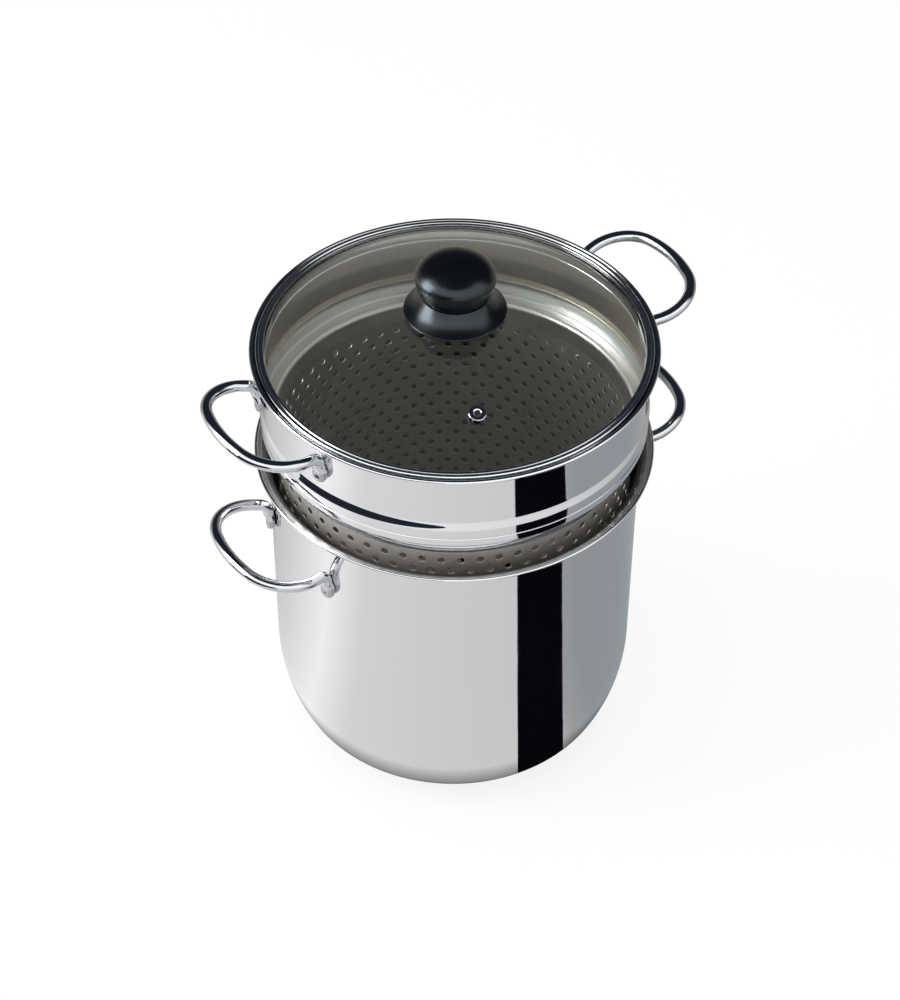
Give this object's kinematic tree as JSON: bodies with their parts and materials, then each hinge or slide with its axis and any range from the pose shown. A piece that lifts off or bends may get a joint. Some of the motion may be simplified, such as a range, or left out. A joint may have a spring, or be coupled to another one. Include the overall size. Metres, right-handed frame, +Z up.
{
  "type": "pasta pot with strainer insert",
  "caption": "Tall steel pot with a lift-out perforated strainer, loop handles and a domed glass lid with a round black knob.",
  "frame": {"origin": "centre of the base's underside, on the surface the pot stands on", "axes": "+Z up along the pot's axis, the loop handles point along -X and +X, +Y away from the side with the steam vent"},
  "size_m": [0.317, 0.2406, 0.3512],
  "materials": {
    "pot_steel": "mirror-polished stainless steel with a fine vertical grain",
    "core_aluminium": "bare aluminium disc",
    "handle_steel": "polished stainless rod",
    "collar_steel": "mirror-polished stainless steel",
    "basket_steel": "satin stainless steel, punched",
    "lid_glass": "clear tempered glass",
    "band_steel": "polished stainless band",
    "vent_steel": "polished stainless eyelet",
    "knob_black": "satin black phenolic resin",
    "insert_brass": "bare brass",
    "screw_steel": "plain stainless steel",
    "gasket_rubber": "matt silicone rubber"
  },
  "bodies": {
    "pot": {"pot_shell": "pot_steel", "pot_foot_top": "pot_steel", "pot_foot_mid": "pot_steel", "pot_foot_low": "pot_steel", "pot_floor": "pot_steel", "pot_rim": "pot_steel", "base_core": "core_aluminium", "base_cap": "pot_steel", "pot_handle_left": "handle_steel", "pot_handle_right": "handle_steel"},
    "strainer": {"strainer_collar": "collar_steel", "strainer_shoulder": "collar_steel", "strainer_wall": "basket_steel", "strainer_floor": "basket_steel", "strainer_handle_left": "handle_steel", "strainer_handle_right": "handle_steel"},
    "lid": {"lid_glass": "lid_glass", "lid_rim_band": "band_steel", "vent_eyelet": "vent_steel", "vent_washer": "vent_steel", "knob_skirt": "knob_black", "knob_grip": "knob_black", "knob_insert": "insert_brass", "knob_screw": "screw_steel", "knob_washer": "screw_steel", "knob_gasket_upper": "gasket_rubber", "knob_gasket_lower": "gasket_rubber"}
  },
  "joints": [
    {"name": "strainer_lift", "type": "slide", "parent": "pot", "child": "strainer", "axis": [0, 0, 1], "range_m": [-0.0235, 0.17]},
    {"name": "lid_lift", "type": "slide", "parent": "strainer", "child": "lid", "axis": [0, 0, 1], "range_m": [0, 0.12]}
  ]
}
